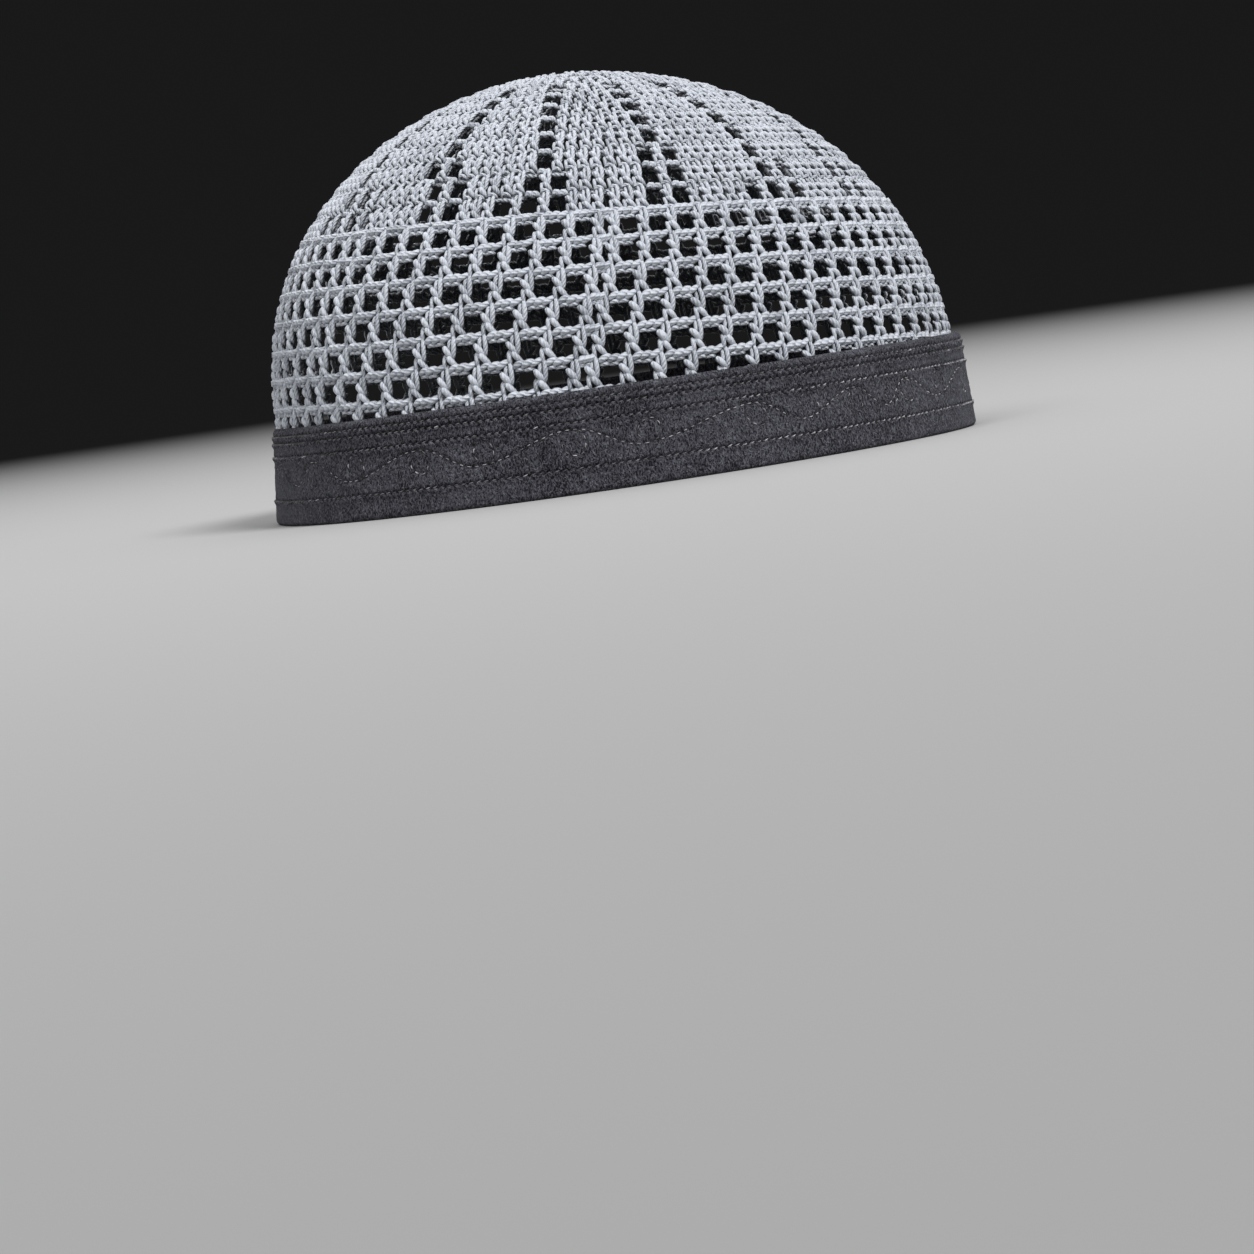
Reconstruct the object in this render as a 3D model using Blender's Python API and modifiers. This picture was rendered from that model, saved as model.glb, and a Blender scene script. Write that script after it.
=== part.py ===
"""Crocheted dome cap with a folded velvet band: an open net crown held in the slot of a rim band.

Units are metres. +Z is up and the band's bottom fold lies on z = 0. The cap's front faces -Y and the
wearer's right is -X. The origin is under the middle of the rim.
"""

import math

import bmesh
import bpy

# Rim: the band's widest outline, an oval that is a little narrower at the front.
RIM_LENGTH = 0.2040
RIM_WIDTH = 0.1769
RIM_EGG = 0.08

# Crown: a dome whose crocheted rows tilt, lower at the front than at the back.
CROWN_HEIGHT = 0.1147
CROWN_WALL = 0.0016
CROWN_INSET_FRONT = 0.0022
CROWN_INSET_BACK = 0.0013
ROW_TILT = math.radians(4.49)
# Exponents of the dome's profile: a lower spread is wider towards the top, a lower climb is steeper at the foot.
SPREAD_FRONT = 0.957
SPREAD_BACK = 1.069
CLIMB_FRONT = 0.845
CLIMB_BACK = 0.903

# Net: rows of square gaps, and lines of eyelets that run up from every other post.
NET_COLUMNS = 28
NET_ROWS = 3
NET_START = math.radians(2.9)
NET_PITCH = math.radians(9.55)
GAP_SHARE_ROUND = 0.64
GAP_SHARE_UP = 0.70
EYELET_ROWS = 2
EYELETS_ABOVE_NET = math.radians(5.8)
EYELET_PITCH = math.radians(11.0)
EYELET_SHARE_UP = 0.38
EYELET_EVERY = 2
SMOOTH_RINGS = 4

# Band: one folded strip, quilted, with the crown's edge held in a slot between its two layers.
BAND_HEIGHT = 0.0270
BAND_FLARE_FRONT = 0.0015
BAND_FLARE_BACK = 0.0029
BAND_INNER_LAYER = 0.0012
BAND_FOLD_RADIUS = 0.0013
BAND_FOLD_SHARE = 0.3
BAND_EDGE_RADIUS = 0.0005
SLOT_DEPTH = 0.0160
SLOT_STEPS = 2
CLEARANCE = 0.0003

# Quilted lines round the band: height share of the band, depth and half width of the groove.
QUILT_LINES = (
    {"height": 0.27, "depth": 0.0004, "half_width": 0.0009},
    {"height": 0.74, "depth": 0.0004, "half_width": 0.0009},
    {"height": 0.90, "depth": 0.0003, "half_width": 0.0007},
)

COLUMNS = NET_COLUMNS * 2
FULL_TURN = 2.0 * math.pi
QUARTER_TURN = 0.5 * math.pi
SMALL_TURN = math.radians(0.05)
HALVINGS = 40
EQUATOR_SLACK = 1e-4
SHARP_ANGLE = math.radians(40.0)
YARN = {"colour": (0.47, 0.50, 0.55, 1.0), "roughness": 0.85, "sheen": 0.2}
VELVET = {"colour": (0.055, 0.053, 0.066, 1.0), "roughness": 0.95, "sheen": 0.6}
COLLECTION_NAME = "kufi_cap"


def blend_front_back(turn, front_value, back_value):
    """Eases from the front's value to the back's."""
    front = 0.5 * (1.0 + math.cos(turn))
    return front_value * front + back_value * (1.0 - front)


def rim_point(turn, inset):
    """Plan of the oval, drawn in by inset. turn is 0 at the front and a quarter at the wearer's left."""
    half_length = 0.5 * RIM_LENGTH - inset
    half_width = 0.5 * RIM_WIDTH - inset
    x = half_width * math.sin(turn) * (1.0 - RIM_EGG * math.cos(turn))
    y = -half_length * math.cos(turn)
    return x, y


def band_flare(turn):
    """How far the band's top lies inside its widest outline."""
    return blend_front_back(turn, BAND_FLARE_FRONT, BAND_FLARE_BACK)


def crown_foot_plan(turn):
    """Plan of the crown's outer face at its foot."""
    inset = band_flare(turn) + blend_front_back(turn, CROWN_INSET_FRONT, CROWN_INSET_BACK)
    return rim_point(turn, inset)


def foot_height():
    """Height of the crown's lower edge, just clear of the slot's floor."""
    return BAND_HEIGHT - SLOT_DEPTH + CLEARANCE


def crown_point(turn, rise):
    """A point on the crown's outer face. rise goes from 0 at the foot to a quarter turn at the pole."""
    x, y = crown_foot_plan(turn)
    spread = max(math.cos(rise), 0.0) ** blend_front_back(turn, SPREAD_FRONT, SPREAD_BACK)
    level = max(math.sin(rise), 0.0) ** blend_front_back(turn, CLIMB_FRONT, CLIMB_BACK)
    base = foot_height() - math.tan(ROW_TILT) * crown_foot_plan(0.0)[1]
    x *= spread
    y *= spread
    z = base + (CROWN_HEIGHT - base) * level + math.tan(ROW_TILT) * y
    return x, y, z


def crown_plan(turn, height):
    """Plan of the crown's outer face at a height. Below its first row it runs straight down."""
    low = 0.0
    high = QUARTER_TURN
    for _ in range(HALVINGS):
        middle = 0.5 * (low + high)
        if crown_point(turn, middle)[2] < height:
            low = middle
        else:
            high = middle
    x, y, _ = crown_point(turn, low)
    return x, y


def inside_crown(turn, height, inset):
    """Plan of the crown's outer face at a height, drawn in square to itself by inset."""
    x, y = crown_plan(turn, height)
    x0, y0 = crown_plan(turn - SMALL_TURN, height)
    x1, y1 = crown_plan(turn + SMALL_TURN, height)
    length = math.hypot(x1 - x0, y1 - y0)
    return x - inset * (y1 - y0) / length, y + inset * (x1 - x0) / length


def column_turns():
    """Turns of the crown's columns: each pitch of the net is one gap and one post."""
    pitch = FULL_TURN / NET_COLUMNS
    turns = []
    for index in range(NET_COLUMNS):
        turns.append(index * pitch)
        turns.append((index + GAP_SHARE_ROUND) * pitch)
    return turns


def ring_rises():
    """Rises of the crown's rings above its foot, with the kind of band between each and the next."""
    rings = []
    for row in range(NET_ROWS):
        start = NET_START + row * NET_PITCH
        rings.append((start, "gap"))
        rings.append((start + GAP_SHARE_UP * NET_PITCH, "bar"))
    net_top = rings[-1][0]
    for row in range(EYELET_ROWS):
        start = net_top + EYELETS_ABOVE_NET + row * EYELET_PITCH
        rings.append((start, "eyelet"))
        rings.append((start + EYELET_SHARE_UP * EYELET_PITCH, "bar"))
    last = rings[-1][0]
    for index in range(1, SMOOTH_RINGS + 1):
        rings.append((last + (QUARTER_TURN - last) * index / (SMOOTH_RINGS + 1), "bar"))
    return rings


def is_open(column, kind):
    """Whether a face of the crown is cut through."""
    if kind == "gap":
        return column % 2 == 0
    if kind == "eyelet":
        return column % (2 * EYELET_EVERY) == 1
    return False


def make_material(name, look):
    """A cloth material from its colour, roughness and sheen."""
    material = bpy.data.materials.new(name)
    material.use_nodes = True
    shader = material.node_tree.nodes["Principled BSDF"]
    shader.inputs["Base Color"].default_value = look["colour"]
    shader.inputs["Roughness"].default_value = look["roughness"]
    shader.inputs["Metallic"].default_value = 0.0
    shader.inputs["Sheen Weight"].default_value = look["sheen"]
    return material


def add_object(name, mesh_editor, material, collection):
    """Turns a bmesh into a named object with its material."""
    bmesh.ops.recalc_face_normals(mesh_editor, faces=mesh_editor.faces)
    mesh = bpy.data.meshes.new(name)
    mesh_editor.to_mesh(mesh)
    mesh_editor.free()
    mesh.materials.append(material)
    mesh.shade_smooth()
    mesh.set_sharp_from_angle(angle=SHARP_ANGLE)
    piece = bpy.data.objects.new(name, mesh)
    collection.objects.link(piece)
    return piece


def make_crown(collection):
    """The crocheted dome: half a sphere's grid, opened at the gaps and eased to the dome's shape."""
    rings = ring_rises()
    turns = column_turns()
    levels = len(rings) + 1
    dome = bmesh.new()
    bmesh.ops.create_uvsphere(dome, u_segments=COLUMNS, v_segments=2 * levels, radius=1.0)
    lower = [vertex for vertex in dome.verts if vertex.co.z < -EQUATOR_SLACK]
    bmesh.ops.delete(dome, geom=lower, context="VERTS")

    def ring_of(point):
        return math.asin(max(-1.0, min(1.0, point.z / point.length))) / QUARTER_TURN * levels

    def column_of(point):
        return math.atan2(point.x, -point.y) % FULL_TURN / FULL_TURN * COLUMNS

    cut = []
    for face in dome.faces:
        centre = face.calc_center_median()
        ring = int(ring_of(centre))
        column = int(column_of(centre))
        if 0 < ring < levels and is_open(column, rings[ring - 1][1]):
            cut.append(face)
    bmesh.ops.delete(dome, geom=cut, context="FACES")

    for vertex in dome.verts:
        ring = round(ring_of(vertex.co))
        if ring == levels:
            vertex.co = crown_point(0.0, QUARTER_TURN)
            continue
        turn = turns[round(column_of(vertex.co)) % COLUMNS]
        if ring == 0:
            vertex.co = (*crown_plan(turn, foot_height()), foot_height())
        else:
            vertex.co = crown_point(turn, rings[ring - 1][0])
    crown = add_object("crown", dome, make_material("yarn", YARN), collection)
    wall = crown.modifiers.new("wall", "SOLIDIFY")
    wall.thickness = CROWN_WALL
    wall.offset = -1.0
    wall.use_even_offset = True
    return crown


def outer_face():
    """Outer side of the band from its fold up to its top edge: height and inset of each point of the face."""
    face = [
        (0.0, BAND_FOLD_RADIUS),
        (BAND_FOLD_SHARE * BAND_FOLD_RADIUS, BAND_FOLD_SHARE * BAND_FOLD_RADIUS),
        (BAND_FOLD_RADIUS, 0.0),
    ]
    for line in QUILT_LINES:
        height = line["height"] * BAND_HEIGHT
        face.append((height - line["half_width"], 0.0))
        face.append((height, line["depth"]))
        face.append((height + line["half_width"], 0.0))
    face.append((BAND_HEIGHT - BAND_EDGE_RADIUS, 0.0))
    face.append((BAND_HEIGHT, BAND_EDGE_RADIUS))
    return face


def slot_heights():
    """Heights down the slot, from the band's top to the slot's floor."""
    return [BAND_HEIGHT - SLOT_DEPTH * step / SLOT_STEPS for step in range(SLOT_STEPS + 1)]


def inner_face(slot_inset):
    """Inner side of the band from its top edge down to its fold: height and inset from the crown."""
    inside = slot_inset + BAND_INNER_LAYER
    return [
        (BAND_HEIGHT, inside - BAND_EDGE_RADIUS),
        (BAND_HEIGHT - BAND_EDGE_RADIUS, inside),
        (BAND_HEIGHT - SLOT_DEPTH, inside),
        (BAND_FOLD_RADIUS, inside),
        (BAND_FOLD_SHARE * BAND_FOLD_RADIUS, inside - BAND_FOLD_SHARE * BAND_FOLD_RADIUS),
        (0.0, inside - BAND_FOLD_RADIUS),
    ]


def band_section(turn):
    """The band's section at one turn, as points in order round it."""
    flare = band_flare(turn)
    slot_inset = CROWN_WALL + CLEARANCE
    section = []
    for height, inset in outer_face():
        section.append((*rim_point(turn, inset + flare * height / BAND_HEIGHT), height))
    for height in slot_heights():
        section.append((*inside_crown(turn, height, -CLEARANCE), height))
    for height in reversed(slot_heights()):
        section.append((*inside_crown(turn, height, slot_inset), height))
    for height, inset in inner_face(slot_inset):
        section.append((*inside_crown(turn, height, inset), height))
    return section


def make_band(collection):
    """The folded strip: its section lofted round the rim, column by column with the crown."""
    strip = bmesh.new()
    sections = [[strip.verts.new(point) for point in band_section(turn)] for turn in column_turns()]
    count = len(sections[0])
    for column in range(COLUMNS):
        here = sections[column]
        following = sections[(column + 1) % COLUMNS]
        for index in range(count):
            after = (index + 1) % count
            strip.faces.new((here[index], following[index], following[after], here[after]))
    return add_object("band", strip, make_material("velvet", VELVET), collection)


def main():
    for leftover in list(bpy.data.objects):
        bpy.data.objects.remove(leftover, do_unlink=True)
    collection = bpy.data.collections.new(COLLECTION_NAME)
    bpy.context.scene.collection.children.link(collection)
    make_crown(collection)
    make_band(collection)


main()
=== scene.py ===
"""Looks of a crocheted dome cap with a folded velvet band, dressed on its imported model.

Units are metres unless a name ends in _MM. The cap's front faces -Y and the wearer's right is -X.
Every stitch is laid on the crown by a share of the way round (0 at the front, three quarters at the
wearer's right) and a length up the crown from its first row.
"""

import math

import bpy
import numpy as np
from mathutils import Matrix, Vector


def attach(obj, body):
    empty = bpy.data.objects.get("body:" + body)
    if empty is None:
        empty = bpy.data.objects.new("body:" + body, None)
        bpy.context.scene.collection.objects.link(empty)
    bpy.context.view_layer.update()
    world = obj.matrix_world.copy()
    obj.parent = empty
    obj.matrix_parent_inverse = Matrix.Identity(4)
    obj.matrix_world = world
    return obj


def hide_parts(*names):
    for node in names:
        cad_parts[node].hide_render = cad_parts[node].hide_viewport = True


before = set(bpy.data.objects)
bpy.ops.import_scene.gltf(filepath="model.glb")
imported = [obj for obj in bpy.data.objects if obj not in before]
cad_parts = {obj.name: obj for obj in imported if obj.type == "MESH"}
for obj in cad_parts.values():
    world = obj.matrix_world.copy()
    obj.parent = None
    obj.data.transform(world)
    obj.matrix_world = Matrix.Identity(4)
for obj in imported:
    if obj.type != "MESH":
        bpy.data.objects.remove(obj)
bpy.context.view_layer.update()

MM = 0.001
FULL_TURN = 2.0 * math.pi
RNG = np.random.default_rng(7)

# How finely curves are measured, and the small steps that give directions
ROUND_SAMPLES = 2881
RISE_SAMPLES = 2001
LINE_SAMPLES = 4001
SKY_SAMPLES = 201
SURFACE_STEP = 0.0004
TURN_STEP = 0.001
HALVINGS = 34
STEEPEST_RISE = 1.56

# Crown and band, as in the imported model
RIM_LENGTH = 0.2040
RIM_WIDTH = 0.1769
RIM_EGG = 0.08
CROWN_HEIGHT = 0.1147
CROWN_WALL = 0.0016
CROWN_INSET = (0.0022, 0.0013)
ROW_TILT = math.tan(math.radians(4.49))
SPREAD = (0.957, 1.069)
CLIMB = (0.845, 0.903)
BAND_HEIGHT = 0.0270
BAND_FLARE = (0.0015, 0.0029)
BAND_INNER_LAYER = 0.0012
BAND_FOLD_RADIUS = 0.0013
BAND_EDGE_MM = 1.2
BAND_EDGE_INSET = 0.0007
CROWN_FOOT = 0.0113
CLEARANCE = 0.0003

# Net: square gaps between posts, with double posts where the two seams run
PITCHES_ROUND = 64.353
SEAM_PITCHES = 0.561
POSTS_FRONT = 55
POSTS_BACK = 10
SEAM_SHARE = 0.75 - 1.996 / PITCHES_ROUND
NET_ROWS_MM = {7: 1.20, 6: 9.47, 5: 17.85, 4: 25.99, 3: 34.33, 2: 42.63, 1: 50.62}
NET_STEP_MM = 8.23
NET_TOP_MM = 54.4
NET_DRIFT = 0.292
NET_DRIFT_FROM_ROW = 3.5
UPPER_DRIFT = {1: 0.60, -1: 0.77, -2: 0.88}

# Dense rows: height of the first one's middle, and stitches to a sector between two eyelet lines
DENSE_FIRST_MM = 58.5
DENSE_STEP_MM = 7.5
STITCHES_TO_SECTOR = {-3: 9, -4: 8, -5: 7, -6: 6, -7: 5, -8: 4, -9: 3, -10: 2, -11: 1}
LAST_EYELET_ROW = -8
SECTORS = 14
HUB_STITCHES = 7
EYELET_LINE_SHARE = SEAM_SHARE - 1.486 / PITCHES_ROUND
WIDE_SECTOR_SHARE = 0.521 * 2.0 / SECTORS

# Templates of the stitches: control points of each strand as across, up, out and radius in millimetres
TEMPLATE_PITCH_MM = 9.0
TEMPLATE_HEIGHT_MM = 8.5
POST_STRANDS = (
    ((-0.50, 9.2, -0.6, 0.48), (-0.55, 7.8, 0.10, 0.56), (-0.50, 6.4, 0.15, 0.56), (-0.40, 5.1, -0.5, 0.46)),
    ((0.45, 10.0, -0.5, 0.52), (0.95, 8.3, 0.30, 0.68), (1.25, 5.6, 0.25, 0.70), (1.10, 2.9, -0.6, 0.52)),
    ((-2.20, 6.7, -0.7, 0.60), (-1.50, 5.95, 0.35, 0.88), (-0.35, 4.85, 0.55, 0.92),
     (1.00, 3.4, -0.5, 0.62)),
    ((-0.95, 4.1, -0.6, 0.60), (0.05, 3.3, 0.45, 0.88), (1.25, 2.2, 0.40, 0.86), (2.70, 1.0, -0.5, 0.54)),
    ((-1.50, 4.3, -0.5, 0.50), (-1.45, 3.1, 0.15, 0.62), (-1.20, 1.5, 0.20, 0.62), (-0.90, 0.0, -0.5, 0.48)),
)
BAR_STRANDS = (
    ((-3.9, -0.95, -0.5, 0.54), (-3.0, -0.20, 0.30, 0.80), (-1.9, 0.55, 0.40, 0.82),
     (-0.6, 0.85, -0.4, 0.54)),
    ((-1.8, -0.70, -0.4, 0.54), (-0.8, -0.05, 0.40, 0.82), (0.5, 0.65, 0.45, 0.84), (1.9, 0.90, -0.4, 0.56)),
    ((0.5, -0.50, -0.4, 0.54), (1.5, 0.15, 0.40, 0.80), (2.8, 0.90, 0.30, 0.76), (4.0, 1.90, -0.5, 0.52)),
    ((-3.6, -1.75, -0.7, 0.38), (-2.6, -1.35, -0.05, 0.54), (-1.6, -1.20, -0.05, 0.54),
     (-0.6, -1.40, -0.6, 0.38)),
    ((-1.1, -1.60, -0.6, 0.38), (-0.2, -1.20, -0.05, 0.54), (0.9, -1.05, -0.05, 0.54),
     (1.9, -1.10, -0.6, 0.38)),
)
EYELET_STRANDS = (
    ((-4.4, -0.35, -0.9, 0.50), (-2.8, 0.35, -0.3, 0.80), (-1.0, 0.40, -0.3, 0.80),
     (0.6, -0.35, -0.9, 0.52)),
    ((-0.8, -0.30, -0.9, 0.52), (1.0, 0.35, -0.3, 0.80), (2.8, 0.40, -0.3, 0.80), (4.4, -0.20, -0.9, 0.50)),
)
TOP_LOOP = ((-1.6, 0.3, -0.5, 0.44), (-0.4, 0.75, 0.30, 0.60), (0.9, 0.65, 0.30, 0.60),
            (2.1, 0.0, -0.5, 0.44))
BACK_STRAND = ((0.0, -0.3, 0.0, 1.05), (0.2, 2.6, 0.15, 1.15), (-0.2, 5.4, 0.15, 1.15),
               (0.0, 8.6, 0.0, 1.05))
BACK_CORD = ((-2.9, 0.0, 0.0, 0.80), (0.0, 0.0, 0.1, 0.85), (2.9, 0.0, 0.0, 0.80))

# How the templates are laid: scales, depth under the crown's face, lean, and how finely they are drawn
CHAIN_HEIGHT = 1.02
CHAIN_RADIUS = 1.10
POST_WIDTH = 0.90
DENSE_SLOT_MM = 4.55
DENSE_RADIUS = 0.84
EYELET_SPREAD = 0.05
EYELET_SQUEEZE = 0.96
STITCH_LEAN = 0.142
ROW_SLOPE = -0.063
STITCH_DEPTH_MM = -0.80
BACK_DEPTH_MM = -2.05
BACK_WIDTH = 0.9
POLE_MARGIN = 0.0012
HIDDEN_BELOW = BAND_HEIGHT - 0.0022
NARROWEST_GAP = 0.5
WHOLE_GAP = 0.9
EYELET_GAP = 1.1
STRAND_POINTS = 7
DENSE_POINTS = 6
BACK_POINTS = 4
CORD_POINTS = 3
TUBE_SIDES = 6
BACK_SIDES = 5
THREAD_SIDES = 5
END_TAPER = 0.6

# Unevenness of hand work: how far stitches and strands stray in millimetres, in skew, thickness and tone
STITCH_STRAY = 0.10
STITCH_SKEW = 0.03
STRAND_STRAY = 0.06
THICKNESS_STRAY = 0.05
MIDDLE_TONE = 0.5
STITCH_TONE = 0.11
STRAND_TONE = 0.16

# Band stitching: lines at heights above the rim, with the depth that each pulls the velvet in
STITCH_LINES = (
    {"height": 24.6, "depth": 0.60, "scallop": 0.50, "bright": 0.08, "fades": (0.10, 0.30)},
    {"height": 22.6, "depth": 0.65, "scallop": 0.60, "bright": 0.08, "fades": (0.10, 0.30)},
    {"height": 18.9, "depth": 0.65, "scallop": 0.60, "bright": 0.75, "fades": (0.21, 0.26)},
    {"height": 6.8, "depth": 0.60, "scallop": 0.50, "bright": 0.80, "fades": (0.22, 0.27)},
)
STITCH_PITCH_MM = 2.2
BORDER_STITCHES = 280
BORDER_SLANT_MM = 0.45
STITCH_LENGTH_MM = 1.45
THREAD_RADIUS_MM = 0.15
THREAD_STRAY_MM = 0.06
THREAD_OUT_MM = (-0.10, 0.22, 0.22, -0.10)
SHOWN_TONES = (0.28, 0.80)
SUNK_TONES = (0.0, 0.22)
FADED_SHARE = 0.9
VINE_BRIGHT = 0.92
LEAF_BRIGHT = 0.38
VINE_FADES = (0.40, 0.48)

# Relief of the band in millimetres: slow swells, each with its waves round, start, climb and share, then
# the creases and scallops along the lines, the grooves of the vine and leaves, and the painted shade in
# each crease and groove and painted highlight on each scallop that the velvet's colour takes
SWELL_MM = 0.07
SWELLS = ((17, 0.7, 0.10, 1.0), (41, 2.1, -0.2, 0.7), (73, 0.0, 0.35, 0.5))
GROOVE_MM = 0.40
CREASE_SOFTENS = 0.2
CREASE_MM = 0.32
CREASE_RISE_MM = 0.80
SCALLOP = {"drop": 0.75, "width": 0.50}
LIP = {"height": 0.12, "rise": 0.8, "width": 0.5}
VINE_LIP = {"height": 0.16, "away": 0.9, "width": 0.6}
# Widths and strengths of the painted shade in the creases and grooves and of the painted highlight on the
# scallops
CREASE_SHADE_MM = 0.25
SCALLOP_HIGHLIGHT = {"drop": 0.50, "width": 0.22, "share": 0.9}
GROOVE_SHADE_MM = 0.30
VINE_SHADE = 0.8
LEAF_SHADE = 0.7
SLOPE_STEP_MM = 0.1

# Vine and leaves
VINE_HEIGHT_MM = 14.0
VINE_SWING_MM = 3.1
VINE_DEPTH_MM = 0.45
VINE_TURNS = (0.539, 0.555, 0.586, 0.627, 0.655, 0.700, 0.730, 0.785, 0.809, 0.840, 0.860, 0.876, 0.902)
VINE_HIDDEN_WAVES = 10
VINE_CREST_SHARE = 0.58
LEAF_DEPTH_MM = 0.36
LEAF_OFFSET_MM = 2.4
LEAF_HALF_WIDTH_MM = 2.9
LEAF_HALF_HEIGHT_MM = 3.2
LEAF_LEAN = 0.25
LEAF_WIDTHS = (0.85, 1.1)
LEAF_HEIGHTS = (0.9, 1.08)
LEAF_SWEEP = (-0.42 * math.pi, 1.30 * math.pi)
LEAF_POINTS = 34
LEAF_BULGE = 0.18
LEAF_GAP_MM = 0.3
LEAF_REACH_MM = 6.0

# The band's mesh: columns round it, rows up it as top and spacing, and where its relief ends
BAND_COLUMNS = 6 * BORDER_STITCHES
INNER_STEP = 4
ROW_SPACING_MM = ((5.5, 0.86), (7.9, 0.34), (17.7, 0.66), (19.8, 0.34), (21.5, 0.60), (25.5, 0.36),
                  (26.4, 0.60))
FOLD_ROWS = 5
RELIEF_STARTS_MM = 1.5
RELIEF_ENDS_MM = 1.2

# The band's inner faces as heights above the rim and insets from the crown's outer face: down the slot
# that holds the crown's edge, up its other side, over the top and down the inner layer to the fold
SLOT_OUTER = -CLEARANCE
SLOT_INNER = CROWN_WALL + CLEARANCE
SLOT_MIDDLE = 0.5 * (SLOT_OUTER + SLOT_INNER)
BAND_INSIDE = SLOT_INNER + BAND_INNER_LAYER
SEAM_HALF_GAP = 0.00015
INNER_ROUND = 0.0004
INNER_PROFILE = (
    (0.0268, SLOT_OUTER), (0.020, SLOT_OUTER), (CROWN_FOOT, SLOT_OUTER),
    (0.0085, SLOT_MIDDLE - SEAM_HALF_GAP), (0.0022, SLOT_MIDDLE - SEAM_HALF_GAP),
    (0.0022, SLOT_MIDDLE + SEAM_HALF_GAP), (0.0085, SLOT_MIDDLE + SEAM_HALF_GAP),
    (CROWN_FOOT, SLOT_INNER), (0.020, SLOT_INNER), (0.0264, SLOT_INNER),
    (0.0269, SLOT_INNER + INNER_ROUND), (0.0269, BAND_INSIDE - INNER_ROUND),
    (0.0262, BAND_INSIDE), (0.0135, BAND_INSIDE), (BAND_FOLD_RADIUS, BAND_INSIDE),
    (0.0004, BAND_INSIDE - INNER_ROUND), (0.0, BAND_INSIDE - BAND_FOLD_RADIUS),
)

# Colours, dark first, each with its place on the scale of shades that the materials work out
YARN_TONES = ((0.45, (0.315, 0.338, 0.384)), (1.0, (0.600, 0.634, 0.700)))
VELVET_TONES = ((0.43, (0.0045, 0.0045, 0.0066)), (0.80, (0.107, 0.106, 0.129)))
VELVET_SHEEN = (0.62, 0.64, 0.70, 1.0)
THREAD_TONES = ((0.0, (0.030, 0.029, 0.036)), (1.0, (0.600, 0.600, 0.620)))

# Camera, in the photograph's frame of 1254 pixels square
PHOTO_PIXELS = 1254
FOCAL_PIXELS = 3476.0
CAMERA_DISTANCE = 0.9992
CAMERA_TURN = math.radians(12.112)
CAMERA_ELEVATION = math.radians(-0.465)
CAMERA_ROLL = math.radians(8.089)
AIM_HEIGHT = 0.050
AIM_PIXEL = (604.95, 299.97)
SENSOR_WIDTH = 36.0

# Light: a sky that is dim near the horizon and pale overhead, and three broad suns
HORIZON_TONE = 0.010
OVERHEAD_TONE = 0.60
SKY_RISE = (0.30, 0.75)
SUNS = {
    "key": {"strength": 2.52, "azimuth": 303.0, "elevation": 50.0, "spread": 20.0},
    "fill": {"strength": 0.95, "azimuth": 226.0, "elevation": 46.0, "spread": 30.0},
    "rim": {"strength": 0.75, "azimuth": 70.0, "elevation": 58.0, "spread": 40.0},
}
FLOOR_SIZE = 60.0
FLOOR_TONE = 0.38
# Distances from the cap over which a painted falloff of light darkens the floor into the dim backdrop
FLOOR_PAINTED_FALLOFF = (0.05, 2.4)
# Painted shade on the floor inside the cap: its tone, and where it ends as a share of the rim's oval
UNDER_CAP_SHADE_TONE = 0.06
UNDER_CAP_SHADE_EDGE = (0.90, 0.95)


def front_to_back(turn, pair):
    """Eases from the front's value to the back's."""
    front = 0.5 * (1.0 + np.cos(turn))
    return pair[0] * front + pair[1] * (1.0 - front)


def rim_plan(turn, inset):
    """Plan of the oval rim, drawn in by inset. turn is 0 at the front, a quarter at the wearer's left."""
    x = (0.5 * RIM_WIDTH - inset) * np.sin(turn) * (1.0 - RIM_EGG * np.cos(turn))
    y = -(0.5 * RIM_LENGTH - inset) * np.cos(turn)
    return x, y


def crown_foot_plan(turn):
    """Plan of the crown's outer face at its foot."""
    return rim_plan(turn, front_to_back(turn, BAND_FLARE) + front_to_back(turn, CROWN_INSET))


FIRST_ROW_HEIGHT = CROWN_FOOT - ROW_TILT * float(crown_foot_plan(0.0)[1])


def crown_shape(turn, rise):
    """A point of the crown's outer face. rise goes from 0 at the first row to a quarter turn at the pole."""
    x, y = crown_foot_plan(turn)
    spread = np.clip(np.cos(rise), 0.0, 1.0) ** front_to_back(turn, SPREAD)
    level = np.clip(np.sin(rise), 0.0, 1.0) ** front_to_back(turn, CLIMB)
    z = FIRST_ROW_HEIGHT + (CROWN_HEIGHT - FIRST_ROW_HEIGHT) * level
    return x * spread, y * spread, z + ROW_TILT * y * spread


def measure_round(plan):
    """Turns round a plan, with the share of the way round that each has reached, and the whole girth."""
    turns = np.linspace(0.0, FULL_TURN, ROUND_SAMPLES)
    x, y = plan(turns)
    reached = np.concatenate([[0.0], np.cumsum(np.hypot(np.diff(x), np.diff(y)))])
    return turns, reached / reached[-1], reached[-1]


def measure_up():
    """Rises up the wearer's right side, with the length that each has reached from the first row."""
    rises = np.linspace(0.0, 0.5 * math.pi, RISE_SAMPLES)
    x, y, z = crown_shape(np.full_like(rises, 0.75 * FULL_TURN), rises)
    z = z - ROW_TILT * y
    steps = np.sqrt(np.diff(x) ** 2 + np.diff(y) ** 2 + np.diff(z) ** 2)
    return rises, np.concatenate([[0.0], np.cumsum(steps)])


TURNS, SHARES, GIRTH = measure_round(crown_foot_plan)
BAND_TURNS, BAND_SHARES, BAND_GIRTH = measure_round(lambda turns: rim_plan(turns, 0.0))
BAND_GIRTH_MM = BAND_GIRTH / MM
RISES, LENGTHS = measure_up()


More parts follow.
